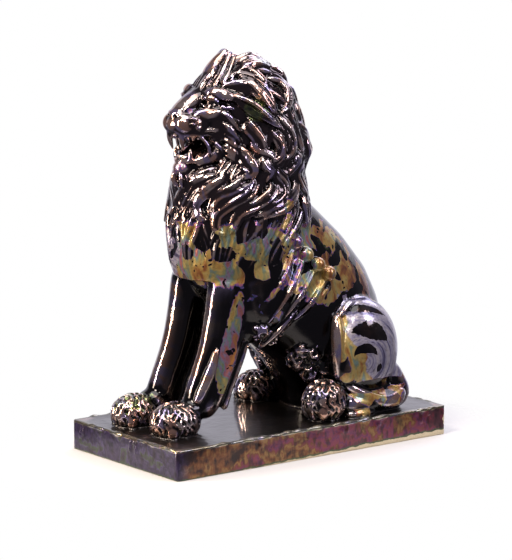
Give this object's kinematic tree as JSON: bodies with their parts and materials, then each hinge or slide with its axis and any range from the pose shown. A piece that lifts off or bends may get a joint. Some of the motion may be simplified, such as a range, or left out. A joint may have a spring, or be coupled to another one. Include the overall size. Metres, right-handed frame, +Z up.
{
  "type": "ceramic lion sculpture",
  "caption": "Glazed ceramic lion seated upright with an open mouth and a long curled mane, fired as one piece with its rectangular plinth.",
  "frame": {"origin": "centre of the plinth's flat underside", "axes": "+Z up from the surface that the plinth stands on; the lion faces -Y, along the plinth's length; +X towards the lion's left side"},
  "size_m": [0.178, 0.338, 0.4017],
  "materials": {
    "lustre_glaze": "thick, mirror-glossy black-brown glaze with bronze, gold, violet and green lustre patches; bare cream clay shows where the glaze stops above the foot"
  },
  "bodies": {
    "root": {"lion_on_plinth": "lustre_glaze"}
  },
  "joints": []
}
